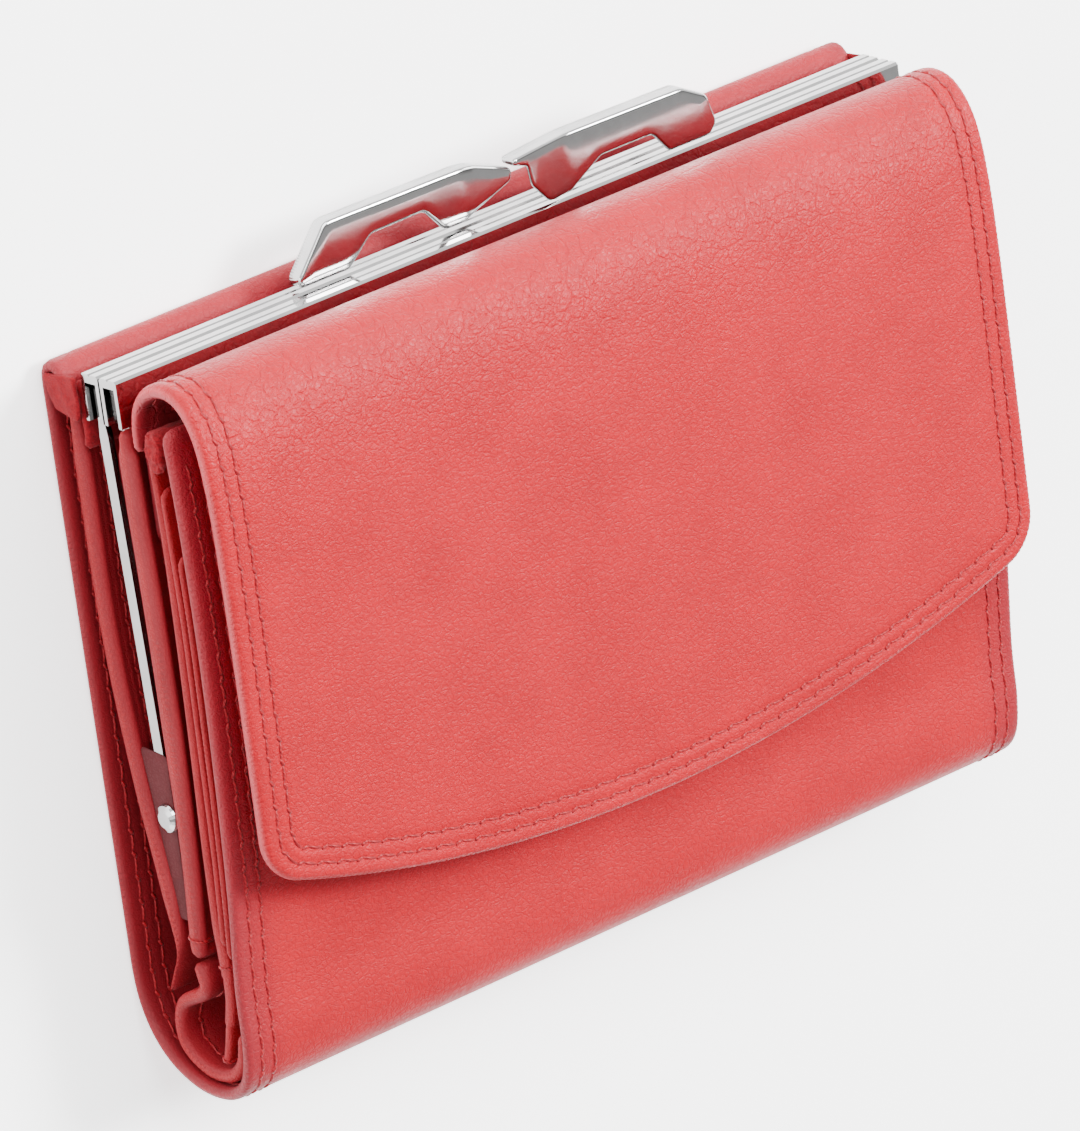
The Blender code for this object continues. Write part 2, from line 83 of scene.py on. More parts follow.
POCKET_STACK_PATH = [
    (4.4, 14.6), (7.0, 15.5), (9.7, 16.2), (13.0, 17.0), (16.0, 17.15), (19.5, 16.9), (23.0, 16.6),
    (32.0, 16.75), (45.0, 17.3), (60.0, 17.8), (72.0, 17.9), (84.0, 17.45),
]
FLAP_HEM_PATH = [(81.5, 15.0), (76.0, 15.0), (70.2, 14.9)]
FLAP_PATH = [
    (81.9, 15.55), (85.0, 15.6), (87.8, 16.5), (89.75, 18.6), (90.5, 21.5), (89.7, 24.2), (87.2, 26.3),
    (83.6, 27.5), (78.0, 28.15), (71.0, 28.4), (60.0, 28.45), (45.0, 28.4), (33.0, 28.3), (20.9, 28.1),
]
REAR_LINING_PATH = [
    (84.2, 8.9), (80.0, 7.6), (74.0, 6.1), (60.0, 5.9), (50.0, 6.5), (38.0, 7.9), (29.0, 9.5), (26.6, 10.5),
    (27.4, 11.6), (29.5, 11.9),
]
FRONT_LINING_PATH = [(84.2, 12.0), (70.0, 12.0), (50.0, 12.0), (38.0, 12.0), (30.4, 11.9)]
WELT_PATH = [(80.6, 6.4), (84.0, 6.45), (86.6, 6.35), (88.2, 5.95), (88.7, 5.35)]
BINDING_PATH = [(84.0, 17.9), (84.7, 18.15), (84.95, 19.3), (84.7, 20.6), (84.0, 21.0)]
FRONT_COVER_LINE = [
    (9.0, 20.55), (16.0, 20.7), (29.0, 22.0), (45.0, 22.9), (60.0, 23.3), (75.0, 23.1), (86.5, 22.5),
]

COVER_HALF_WIDTH = 62.0
LEAF_HALF_WIDTH = 61.2
SECTION_HALF_WIDTH = 60.8
LINING_HALF_WIDTH = 57.2
FLAP_HALF_WIDTH = 61.0
HEM_HALF_WIDTH = 59.2
FLAP_EDGE_RADIUS = 187.0
FLAP_CORNER_RADIUS = 6.5

STITCH_PITCH = 3.0
STITCH_LENGTH = 2.2
THREAD_RADIUS = 0.17
HOLE_RADIUS = 0.25
ROW_INSETS = (2.2, 4.1)
LEAF_INSETS = (3.0,)
SECTION_INSETS = (2.4,)
TURNED_WIDTH = 1.5
POINT_SPACING = 0.75

# The two finger levers, as corners (x, y, radius) with x from the cover's left edge
LEVER_MIDDLE = 61.9
LEVER_FOOT = 90.85
LEVER_SHEET = 0.9
LEVER_EDGE_RADIUS = 0.45
LEVER_SPACING = 0.35
BEND_SOFTNESS = 0.8
REAR_LEVER = [
    (31.8, LEVER_FOOT, 0.6), (39.4, LEVER_FOOT, 1.0), (43.2, 94.0, 1.4), (51.4, 94.1, 1.4),
    (54.2, LEVER_FOOT, 1.6), (57.4, LEVER_FOOT, 2.5), (63.0, 94.7, 0.7), (63.3, 96.4, 0.8),
    (59.0, 97.6, 1.5), (36.5, 97.8, 1.6), (31.8, 92.2, 0.9),
]
FRONT_LEVER = [
    (67.2, LEVER_FOOT, 1.9), (71.0, LEVER_FOOT, 1.8), (76.2, 93.7, 1.6), (84.4, 93.7, 1.3),
    (86.6, LEVER_FOOT, 1.0), (93.2, LEVER_FOOT, 0.9), (94.4, 92.2, 0.9), (93.3, 96.0, 1.7),
    (89.5, 98.05, 2.2), (66.0, 98.35, 1.0), (61.4, 98.4, 0.4), (61.4, 97.5, 0.35), (63.9, 96.6, 0.6),
    (64.4, 93.9, 1.4),
]


# --- curves and distances

def smooth_path(points, steps=16):
    """A Catmull-Rom curve through the points, as an array, with this many steps between each two."""
    ends = np.array([points[0], *points, points[-1]], float)
    p, q, r, s = ends[:-3, None], ends[1:-2, None], ends[2:-1, None], ends[3:, None]
    t = (np.arange(steps) / steps)[None, :, None]
    curve = 0.5 * (2 * q + (r - p) * t + (2 * p - 5 * q + 4 * r - s) * t**2 + (3 * q - p - 3 * r + s) * t**3)
    return np.vstack([curve.reshape(-1, 2), ends[-1]])


def lengths_along(line):
    steps = np.linalg.norm(np.diff(line, axis=0), axis=1)
    return np.concatenate([[0.0], np.cumsum(steps)])


def points_at(line, distances):
    """The points at these distances along a line."""
    along = lengths_along(line)
    return np.stack([np.interp(distances, along, line[:, k]) for k in range(line.shape[1])], axis=-1)


def resampled(line, spacing):
    """A line with evenly spaced points, about this far apart."""
    total = lengths_along(line)[-1]
    count = max(int(round(total / spacing)), 1)
    return points_at(line, np.linspace(0.0, total, count + 1))


def nearest_on(line, points):
    """The distance of each point from an evenly spaced line, and how far along it its nearest point lies."""
    start, step = line[:-1], np.diff(line, axis=0)
    squared = np.maximum((step**2).sum(axis=1), 1e-12)
    along = lengths_along(line)[:-1]
    tree = KDTree(len(start))
    for i, place in enumerate((line[:-1] + line[1:]) / 2):
        tree.insert((*place, 0.0), i)
    tree.balance()
    nearest = np.array([tree.find((*place, 0.0))[1] for place in points.tolist()])
    beside = (nearest[:, None] + np.array([-1, 0, 1])) % len(start)
    away = points[:, None] - start[beside]
    share = np.clip((away * step[beside]).sum(axis=2) / squared[beside], 0.0, 1.0)
    gap = np.linalg.norm(away - share[..., None] * step[beside], axis=2)
    rows = np.arange(len(points))
    best = gap.argmin(axis=1)
    chosen = beside[rows, best]
    return gap[rows, best], along[chosen] + share[rows, best] * np.sqrt(squared[chosen])


class Profile:
    """A smooth curve in the YZ plane, walked by its length, with the normal on its left."""

    def __init__(self, points):
        self.line = resampled(smooth_path(points), 0.25)
        self.along = lengths_along(self.line)
        self.length = self.along[-1]
        slope = np.gradient(self.line, axis=0)
        slope /= np.linalg.norm(slope, axis=1)[:, None]
        self.left = np.stack([-slope[:, 1], slope[:, 0]], axis=1)

    def at(self, t):
        return np.stack([np.interp(t, self.along, self.line[:, k]) for k in (0, 1)], axis=-1)

    def normal(self, t):
        left = np.stack([np.interp(t, self.along, self.left[:, k]) for k in (0, 1)], axis=-1)
        return left / np.linalg.norm(left, axis=-1)[..., None]

    def t_nearest(self, y, z):
        return self.along[np.linalg.norm(self.line - (y, z), axis=1).argmin()]


# --- flat patterns, in (x, t)

def rounded(corners, steps=10):
    """A closed outline whose corners, given as (x, t, radius), are arcs. It runs anticlockwise."""
    outline = []
    for i, (x, t, radius) in enumerate(corners):
        corner = Vector((x, t))
        if radius == 0:
            outline.append((x, t))
            continue
        before = (Vector(corners[i - 1][:2]) - corner).normalized()
        after = (Vector(corners[(i + 1) % len(corners)][:2]) - corner).normalized()
        half_angle = before.angle(after) / 2
        centre = corner + (before + after).normalized() * radius / math.sin(half_angle)
        start = corner + before * radius / math.tan(half_angle) - centre
        turn = start.angle_signed(corner + after * radius / math.tan(half_angle) - centre)
        for step in range(steps + 1):
            angle = -turn * step / steps
            outline.append((
                centre[0] + start[0] * math.cos(angle) - start[1] * math.sin(angle),
                centre[1] + start[0] * math.sin(angle) + start[1] * math.cos(angle),
            ))
    return closed(np.array(outline))


def closed(line):
    return np.vstack([line, line[:1]])


def flap_pattern(length, margin=0.0, start=0.0):
    """The flap's flat pattern: straight sides, two rounded corners and a curved lower edge."""
    half = FLAP_HALF_WIDTH - margin

    def edge(x):
        return length - margin - (FLAP_EDGE_RADIUS - math.sqrt(FLAP_EDGE_RADIUS**2 - x**2))

    radius = FLAP_CORNER_RADIUS
    corners = [(-half, start, 0.8), (half, start, 0.8), (half, edge(half), radius)]
    corners += [(x, edge(x), 0.0) for x in np.linspace(half - radius - 1.0, -half + radius + 1.0, 40)]
    corners += [(-half, edge(half), radius)]
    return rounded(corners)


def inset(outline, distance):
    """An outline moved inwards, without the loops that its tight corners would make."""
    if distance == 0:
        return outline
    ring = outline[:-1]
    tangent = np.roll(ring, -1, axis=0) - np.roll(ring, 1, axis=0)
    inward = np.stack([-tangent[:, 1], tangent[:, 0]], axis=1)
    moved = ring + inward / np.linalg.norm(inward, axis=1)[:, None] * distance
    clear = nearest_on(outline, moved)[0] > distance * 0.99 - 0.01
    return closed(moved[clear])


# --- sheets of leather

class Leather:
    """A sheet cut to a flat pattern and laid along a profile, with rounded edges and sewn grooves.

    thickness is a number or a list of (t, thickness). Each seam is a line in the flat pattern. A turned edge
    makes the rim thicker than the rest: its thickness is given in the same way. inside is the face, 1 or -1,
    that is the leather's flesh side.
    """

    def __init__(self, profile, outline, thickness, seams=(), edge_width=None, pillow=0.0, sway=0.0,
                 groove=0.16, crumple=0.0, seed=0.0, turned=None, inside=-1, spacing=POINT_SPACING):
        self.profile = profile
        self.outline = resampled(outline, spacing)
        self.spacing = spacing
        self.turned = turned
        self.inside = inside
        self.thickness = thickness if isinstance(thickness, list) else [(0.0, thickness)]
        self.seams = [resampled(seam, POINT_SPACING) for seam in seams]
        self.edge_width = edge_width or max(t for _, t in self.thickness) / 2
        self.pillow = pillow
        self.sway = sway
        self.groove = groove
        self.crumple = crumple
        self.seed = seed

    def half_thickness(self, points):
        """How far each face stands off the middle of the sheet."""
        distance = nearest_on(self.outline, points)[0]
        share = np.clip(distance / self.edge_width, 0.0, 1.0)
        full = thickness_at(self.thickness, points[:, 1]) / 2
        if self.turned:
            on_rim = np.clip((TURNED_WIDTH - distance) / 0.4, 0.0, 1.0)
            full += on_rim * (thickness_at(self.turned, points[:, 1]) / 2 - full)
        height = full * np.sqrt(np.maximum(1.0 - (1.0 - share)**2, 0.0))
        height += self.pillow * (1.0 - np.exp(-np.maximum(distance - ROW_INSETS[-1], 0.0) / 5.0))
        for seam in self.seams:
            gap, along = nearest_on(seam, points)
            gathered = 0.78 + 0.22 * np.cos(2 * math.pi * along / STITCH_PITCH)
            height -= self.groove * np.exp(-(gap / 0.42)**2) * gathered * np.minimum(share * 1.5, 1.0)
        return height

    def sway_at(self, points):
        """Slow waves that a soft sheet has, and small crumples where it is rough."""
        x, t = points[:, 0], points[:, 1]
        waves = np.sin(x / 17.0 + self.seed) * np.cos(t / 13.0 + 2 * self.seed)
        waves += 0.6 * np.sin((x + t) / 9.0 + self.seed)
        offset = self.sway * waves
        if self.crumple:
            lumps = [noise.noise(Vector((a / 2.2, b / 1.6, self.seed))) for a, b in points]
            offset = offset + self.crumple * np.array(lumps)
        return offset

    def place(self, points, side, lift=0.0):
        """Where points of the flat pattern lie on one face of the sheet, in metres."""
        middle = self.profile.at(points[:, 1])
        normal = self.profile.normal(points[:, 1])
        offset = self.sway_at(points) + side * (self.half_thickness(points) + lift)
        middle = middle + normal * offset[:, None]
        return np.column_stack([points[:, 0], middle[:, 0] - ORIGIN_Y, middle[:, 1]]) * MM

    def flat_points(self, grid_x, grid_t, fine_edge):
        """Points of the flat pattern: rings near the outline, and a grid inside them."""
        turns = np.radians([0, 22, 45, 68, 90])
        insets = list(self.edge_width * (1.0 - np.cos(turns)))
        reach = insets[-1]
        step = 0.45 if self.seams else 1.2
        while reach < fine_edge:
            reach += step
            insets.append(reach)
        rings = [resampled(inset(self.outline, d), self.spacing)[:-1] for d in insets]
        low, high = self.outline.min(axis=0), self.outline.max(axis=0)
        columns = np.linspace(low[0], high[0], int((high[0] - low[0]) / grid_x) + 2)
        rows = np.linspace(low[1], high[1], int((high[1] - low[1]) / grid_t) + 2)
        grid = np.stack(np.meshgrid(columns, rows), axis=-1).reshape(-1, 2)
        deep = nearest_on(self.outline, grid)[0] > reach + 0.4 * min(grid_x, grid_t)
        inside = points_inside(self.outline, grid)
        return np.vstack(rings + [grid[deep & inside]]), len(rings[0])

    def build(self, name, grid_x=3.0, grid_t=1.5, fine_edge=1.0):
        """The closed mesh of the sheet: two faces that share the outline's points."""
        points, on_edge = self.flat_points(grid_x, grid_t, fine_edge)
        edges = [(i, (i + 1) % on_edge) for i in range(on_edge)]
        found, _, faces, *_ = delaunay_2d_cdt([Vector(p) for p in points], edges, [], 1, 1e-6)
        points = np.array([tuple(p) for p in found])
        distance = nearest_on(self.outline, points)[0]
        rim = distance < 1e-4
        count = len(points)
        under = np.arange(count)
        under[~rim] = count + np.arange((~rim).sum())
        vertices = np.vstack([self.place(points, 1), self.place(points[~rim], -1)])
        upper = [tuple(face) for face in faces]
        lower = [tuple(int(under[i]) for i in reversed(face)) for face in faces]
        lower = [face for face in lower if len(set(face)) > 2]
        mesh = bpy.data.meshes.new(name)
        mesh.from_pydata(vertices.tolist(), [], upper + lower)
        mesh.shade_smooth()
        store(mesh, "edge_distance", np.concatenate([distance, distance[~rim]]))
        t_values = np.concatenate([points[:, 1], points[~rim, 1]])
        store(mesh, "along", t_values)
        first, second = (1.0, 0.0) if self.inside > 0 else (0.0, 1.0)
        store(mesh, "flesh_side", np.where(np.arange(len(vertices)) < count, first, second))
        return link(name, mesh)

    def sew(self, name, tacks=()):
        """The threads of every seam on both faces, with the needle holes between the stitches.

        Threads on the second face use the third material, and so do the tacks, which cross both side edges.
        """
        parts = []
        for seam in self.seams:
            for side in (1, -1):
                parts.append((stitches_on(self, seam, side), 0 if side > 0 else 2))
                parts.append((holes_on(self, seam, side), 1))
        for t in tacks:
            for sign in (-1, 1):
                parts += [(tack_on(self, t, sign, slant), 2) for slant in (-0.3, 0.0, 0.3)]
        return join_parts(name, parts)


class SidePatch(Leather):
    """A thin piece that closes part of a side: its flat pattern is in (y, z), at one x."""

    def __init__(self, x, outline, thickness, crumple=0.0, seed=0.0):
        super().__init__(None, outline, thickness, crumple=crumple, seed=seed, spacing=0.4)
        self.x = x

    def place(self, points, side, lift=0.0):
        offset = self.sway_at(points) + side * (self.half_thickness(points) + lift)
        return np.column_stack([self.x + offset, points[:, 0] - ORIGIN_Y, points[:, 1]]) * MM


class Lever(Leather):
    """A finger lever pressed from sheet metal: a plate in front, and a rim that runs back from its top edge.

    Its flat pattern is in (x, y). bends are (x, slope): past that x, the plate leans forward by that slope.
    """

    def __init__(self, corners, rim, back, front, bends):
        outline = rounded([(x - LEVER_MIDDLE, y, radius) for x, y, radius in corners])
        super().__init__(None, outline, LEVER_SHEET, edge_width=LEVER_EDGE_RADIUS, spacing=LEVER_SPACING)
        self.rim = resampled(np.array([(x - LEVER_MIDDLE, y) for x, y in rim]), LEVER_SPACING)
        self.back = back
        self.front = front
        self.bends = bends

    def place(self, points, side, lift=0.0):
        share = np.clip(nearest_on(self.outline, points)[0] / self.edge_width, 0.0, 1.0)
        sunk = self.edge_width * (1.0 - np.sqrt(np.maximum(1.0 - (1.0 - share)**2, 0.0)))
        under_rim = np.clip((1.5 - nearest_on(self.rim, points)[0]) / 0.4, 0.0, 1.0)
        under_rim = under_rim * under_rim * (3.0 - 2.0 * under_rim)
        depth = LEVER_SHEET + (self.front - self.back - LEVER_SHEET) * under_rim
        z = self.front - sunk if side > 0 else self.front - depth + sunk
        for start, slope in self.bends:
            past = (points[:, 0] + LEVER_MIDDLE - start) * math.copysign(1.0, slope)
            z = z + abs(slope) * (np.sqrt(past**2 + BEND_SOFTNESS**2) + past) / 2
        return np.column_stack([points[:, 0], points[:, 1] - ORIGIN_Y, z]) * MM


def strip(profile, half_width, thickness, radii=(1.0, 1.0), rows=(0.0, 0.0), insets=(), **shape):
    """A rectangular sheet as long as its profile, with seams up both sides.

    radii are those of the corners at its two ends, rows how far from the ends the seams stop, and insets
    how far they lie from the sides.
    """
    low, high = radii
    outline = rounded([
        (-half_width, 0.0, low), (half_width, 0.0, low),
        (half_width, profile.length, high), (-half_width, profile.length, high),
    ])
    sides = [sign * (half_width - distance) for distance in insets for sign in (-1, 1)]
    seams = [np.array([(x, rows[0]), (x, profile.length - rows[1])]) for x in sides]
    return Leather(profile, outline, thickness, seams, **shape)


def thickness_at(steps, t):
    return np.interp(t, [place for place, _ in steps], [thickness for _, thickness in steps])


def points_inside(outline, points):
    """Which points lie inside a closed outline."""
    inside = np.zeros(len(points), bool)
    for (x0, t0), (x1, t1) in zip(outline[:-1], outline[1:]):
        if t0 == t1:
            continue
        crosses = (t0 > points[:, 1]) != (t1 > points[:, 1])
        inside ^= crosses & (points[:, 0] < (x1 - x0) * (points[:, 1] - t0) / (t1 - t0) + x0)
    return inside


def store(mesh, name, values):
    attribute = mesh.attributes.new(name, "FLOAT", "POINT")
    attribute.data.foreach_set("value", np.asarray(values, np.float32))


def link(name, data):
    """A new object in the scene that shows a mesh, a light or a camera."""
    obj = bpy.data.objects.new(name, data)
    bpy.context.scene.collection.objects.link(obj)
    return obj


def linked_mesh(name, shape):
    mesh = bpy.data.meshes.new(name)
    shape.to_mesh(mesh)
    shape.free()
    mesh.shade_smooth()
    return link(name, mesh)


def seam_points(seam, distances, lateral):
    """Points along a seam, each moved sideways a little."""
    here = points_at(seam, distances)
    ahead = points_at(seam, distances + 0.2)
    behind = points_at(seam, distances - 0.2)
    run = ahead - behind
    run /= np.linalg.norm(run, axis=-1)[..., None]
    return here + np.stack([-run[..., 1], run[..., 0]], axis=-1) * lateral[..., None]


def tubes(centres, radius, sides=6):
    """Closed tubes, one for each row of centres, as (vertices, faces)."""
    count, rings = centres.shape[:2]
    run = np.gradient(centres, axis=1)
    run /= np.linalg.norm(run, axis=2)[..., None]
    across = np.cross(run, np.array([0.31, 0.17, 0.93]))
    across /= np.linalg.norm(across, axis=2)[..., None]
    other = np.cross(run, across)
    angles = np.arange(sides) * 2 * math.pi / sides
    ring = across[:, :, None] * np.cos(angles)[:, None] + other[:, :, None] * np.sin(angles)[:, None]
    vertices = (centres[:, :, None] + ring * radius).reshape(-1, 3)
    faces = []
    for tube in range(count):
        base = tube * rings * sides
        for i in range(rings - 1):
            for j in range(sides):
                a = base + i * sides + j
                b = base + i * sides + (j + 1) % sides
                faces.append((a, b, b + sides, a + sides))
        faces.append(tuple(base + j for j in reversed(range(sides))))
        faces.append(tuple(base + (rings - 1) * sides + j for j in range(sides)))
    return vertices, faces


STITCH = {
    "shares": (-0.5, -0.42, -0.2, 0.0, 0.2, 0.42, 0.5),
    "lifts": (-0.3, -0.06, 0.04, 0.07, 0.04, -0.06, -0.3),
    "slant": (-0.1, -0.1, -0.04, 0.0, 0.04, 0.1, 0.1),
}
HOLE = {
    "shares": (-0.5, -0.2, 0.2, 0.5),
    "lifts": (-0.12, 0.01, 0.01, -0.12),
    "slant": (0.24, 0.08, -0.08, -0.24),
}


def dashes_on(sheet, seam, side, middles, length, radius, form):
    """Short tubes along a seam that dive into the leather at both ends and lie slightly across the seam."""
    shares = np.array(form["shares"])
    distances = middles[:, None] + shares * length
    flat = seam_points(seam, distances, np.broadcast_to(form["slant"], distances.shape))
    lift = np.broadcast_to(form["lifts"], distances.shape).reshape(-1)
    centres = sheet.place(flat.reshape(-1, 2), side, lift).reshape(*distances.shape, 3)
    return tubes(centres, radius * MM)


def stitches_on(sheet, seam, side):
    """The threads of one seam."""
    count = int(lengths_along(seam)[-1] / STITCH_PITCH)
    return dashes_on(sheet, seam, side, (np.arange(count) + 0.5) * STITCH_PITCH, STITCH_LENGTH, THREAD_RADIUS,
                     STITCH)


def holes_on(sheet, seam, side):
    """Small dimples where the needle went through, between the stitches, coloured near black as painted
    shade.
    """
    count = int(lengths_along(seam)[-1] / STITCH_PITCH)
    return dashes_on(sheet, seam, side, np.arange(1, count) * STITCH_PITCH, STITCH_PITCH - STITCH_LENGTH,
                     HOLE_RADIUS, HOLE)


def tack_on(sheet, t, sign, slant):
    """One turn of thread round a sheet's side edge, from one face to the other."""
    half_width = sheet.outline[:, 0].max()
    depths = np.array([2.5, 2.1, 1.4, 0.7, 0.25])
    lifts = np.array([-0.2, 0.05, 0.08, 0.08, 0.08])
    x = sign * (half_width - depths)
    front = sheet.place(np.column_stack([x, t + slant * depths / 2.5]), 1, lifts)
    back = sheet.place(np.column_stack([x, t - slant * depths / 2.5])[::-1], -1, lifts[::-1])
    edge = sheet.place(np.array([(sign * half_width, t)]), 1) + np.array([sign * 0.1 * MM, 0.0, 0.0])
    return tubes(np.vstack([front, edge, back])[None], THREAD_RADIUS * MM)


def join_parts(name, parts):
    """One mesh from several (vertices, faces), each with its own material slot."""
    vertices, faces, slots = [], [], []
    for (points, polygons), slot in parts:
        base = sum(len(v) for v in vertices)
        vertices.append(points)
        faces += [tuple(base + i for i in polygon) for polygon in polygons]
        slots += [slot] * len(polygons)
    mesh = bpy.data.meshes.new(name)
    mesh.from_pydata(np.vstack(vertices).tolist(), [], faces)
    mesh.polygons.foreach_set("material_index", slots)
    mesh.shade_smooth()
    mesh.update()
    return link(name, mesh)


# --- materials

SOCKETS = {
    "metallic": "Metallic",
    "sheen_weight": "Sheen Weight",
    "sheen_roughness": "Sheen Roughness",
    "specular": "Specular IOR Level",
    "glow": "Emission Strength",
}


class Shader:
    """A material's node tree, with short ways to add and join nodes."""

    def __init__(self, name):
        self.material = bpy.data.materials.new(name)
        self.material.use_nodes = True
        self.tree = self.material.node_tree
        self.surface = self.tree.nodes["Principled BSDF"]
        self.position = self.add("ShaderNodeTexCoord").outputs["Object"]

    def add(self, kind, inputs=None, **properties):
        """A new node with these properties. Each input is given a value or another node's output."""
        node = self.tree.nodes.new(kind)
        for key, value in properties.items():
            setattr(node, key, value)
        self.feed(node, inputs or {})
        return node

    def feed(self, node, inputs):
        for key, value in inputs.items():
            if isinstance(value, bpy.types.NodeSocket):
                self.tree.links.new(value, node.inputs[key])
            elif value is not None:
                node.inputs[key].default_value = value

    def noise(self, scale, detail=2.0, roughness=0.5, distortion=0.0, vector=None):
        inputs = {"Vector": vector or self.position, "Scale": scale, "Detail": detail, "Roughness": roughness,
                  "Distortion": distortion}
        return self.add("ShaderNodeTexNoise", inputs).outputs["Fac"]

    def cells(self, scale, feature, vector=None):
        inputs = {"Vector": vector or self.position, "Scale": scale}
        return self.add("ShaderNodeTexVoronoi", inputs, feature=feature).outputs["Distance"]

    def maths(self, operation, *values):
        return self.add("ShaderNodeMath", dict(enumerate(values)), operation=operation).outputs[0]

    def remap(self, value, low, high, to_low=0.0, to_high=1.0, smooth=False):
        inputs = dict(enumerate((value, low, high, to_low, to_high)))
        curve = "SMOOTHSTEP" if smooth else "LINEAR"
        return self.add("ShaderNodeMapRange", inputs, interpolation_type=curve).outputs[0]

    def mix(self, share, *colours):
        first, second = [c if isinstance(c, bpy.types.NodeSocket) else (*c, 1.0) for c in colours]
        return self.add("ShaderNodeMix", {0: share, 6: first, 7: second}, data_type="RGBA").outputs[2]

    def attribute(self, name):
        return self.add("ShaderNodeAttribute", attribute_name=name).outputs["Fac"]

    def bent_position(self, scale, amount):
        """The position, pushed about by a noise so that cells lose their straight edges."""
        vectors = "ShaderNodeVectorMath"
        push = self.add("ShaderNodeTexNoise", {"Vector": self.position, "Scale": scale}).outputs["Color"]
        centred = self.add(vectors, {0: push, 1: (0.5, 0.5, 0.5)}, operation="SUBTRACT").outputs[0]
        scaled = self.add(vectors, {0: centred, "Scale": amount}, operation="SCALE").outputs[0]
        return self.add(vectors, {0: self.position, 1: scaled}, operation="ADD").outputs[0]

    def bump(self, height, strength, distance, under=None):
        inputs = {"Strength": strength, "Distance": distance, "Height": height, "Normal": under}
        return self.add("ShaderNodeBump", inputs).outputs[0]

    def finish(self, colour, roughness, normal=None, **fixed):
        inputs = {"Base Color": colour, "Roughness": roughness, "Normal": normal}
        self.feed(self.surface, inputs | {SOCKETS[key]: value for key, value in fixed.items()})
        return self.material


def leather_material(name, colour, deep, inner, grain_size, relief, rough, edge_wear_and_shade=0.0, rim_highlight=None):
    """Grained leather: small pebbles with creases between them, soft colour changes, and painted shade in the
    creases.

    inner is the colour of its flesh side, and the edge darkening argument how far its sides are darkened,
    partly as worn edges and partly as painted shade. The edges are darker, or where a rim highlight colour is
    given, they show a thin painted highlight and the bend is wrinkled.
    """
    shader = Shader(name)
    bent = shader.bent_position(900.0, 0.0007)
    pebbles = shader.cells(1000.0 / grain_size, "DISTANCE_TO_EDGE", bent)
    grains = shader.cells(2600.0 / grain_size, "DISTANCE_TO_EDGE", bent)
    creases = shader.remap(pebbles, 0.0, 0.22, smooth=True)
    fine_creases = shader.remap(grains, 0.0, 0.3, smooth=True)
    pores = shader.noise(5200.0, 3.0, 0.6)
    patches = shader.noise(70.0, 3.0, 0.55)
    slow = shader.noise(260.0, 4.0, 0.6)
    height = shader.maths("MULTIPLY_ADD", creases, 0.45, shader.maths("MULTIPLY", fine_creases, 0.3))
    height = shader.maths("MULTIPLY_ADD", pores, 0.35, height)
    height = shader.maths("MULTIPLY_ADD", slow, 0.9, height)
    flesh = shader.remap(shader.attribute("flesh_side"), 0.3, 1.0)
    height = shader.maths("MULTIPLY", height, shader.remap(flesh, 0.0, 1.0, 1.0, 0.45))
    edge = shader.attribute("edge_distance")
    # The grain's creases are coloured deeper: painted shade. The patches and slow changes are the leather's
    # own tone.
    valley = shader.remap(creases, 0.0, 1.0, 1.0, 0.0)
    tone = shader.maths("MULTIPLY_ADD", valley, 0.22, shader.remap(patches, 0.35, 0.7, 0.0, 0.28))
    tone = shader.maths("MULTIPLY_ADD", shader.remap(slow, 0.3, 0.7, 0.0, 1.0), 0.14, tone)
    if rim_highlight is None:
        tone = shader.maths("ADD", tone, shader.remap(edge, 0.0, 0.9, 0.3, 0.0, smooth=True))
    tinted = shader.mix(tone, colour, deep)
    # Within 8 mm of the edge the colour is dulled towards dark red: partly worn edges, partly painted shade.
    wear_and_shade_mask = shader.remap(edge, 0.0, 8.0, edge_wear_and_shade, 0.0, smooth=True)
    tinted = shader.mix(wear_and_shade_mask, tinted, (0.13, 0.011, 0.017))
    tinted = shader.mix(flesh, tinted, shader.mix(tone, inner, tuple(c * 0.6 for c in inner)))
    roughness = shader.maths("MULTIPLY_ADD", slow, 0.16, rough - 0.08)
    roughness = shader.maths("MULTIPLY_ADD", valley, 0.1, roughness)
    normal = shader.bump(height, 0.66 * relief, 0.00012)
    if rim_highlight is not None:
        # A thin light line along the rounded rim: painted highlight.
        tinted = shader.mix(shader.remap(edge, 0.05, 0.4, 0.5, 0.0, smooth=True), tinted, rim_highlight)
        wrinkles = shader.cells(420.0, "DISTANCE_TO_EDGE", shader.bent_position(500.0, 0.0022))
        folds = shader.remap(wrinkles, 0.0, 0.09, 0.0, 1.0, smooth=True)
        near_bend = shader.remap(shader.attribute("along"), 10.0, 40.0, 1.0, 0.0, smooth=True)
        folded = shader.maths("MULTIPLY", shader.maths("SUBTRACT", folds, 1.0), near_bend)
        normal = shader.bump(folded, 0.62, 0.00012, under=normal)
        roughness = shader.maths("MULTIPLY_ADD", near_bend, -0.08, roughness)
    return shader.finish(tinted, roughness, normal, sheen_weight=0.01, sheen_roughness=0.45, specular=0.18)


def suede_material(name, colour, deep):
    """Raw, napped leather: no grain, a fibrous relief and almost no gloss."""
    shader = Shader(name)
    fibres = shader.noise(3400.0, 5.0, 0.75, 1.2)
    lumps = shader.noise(900.0, 3.0, 0.6)
    height = shader.maths("MULTIPLY_ADD", fibres, 0.6, lumps)
    tinted = shader.mix(shader.remap(fibres, 0.3, 0.75), deep, colour)
    roughness = shader.remap(fibres, 0.2, 0.8, 0.72, 0.95)
    normal = shader.bump(height, 0.8, 0.0003)
    return shader.finish(tinted, roughness, normal, sheen_weight=0.03, sheen_roughness=0.5, specular=0.1)


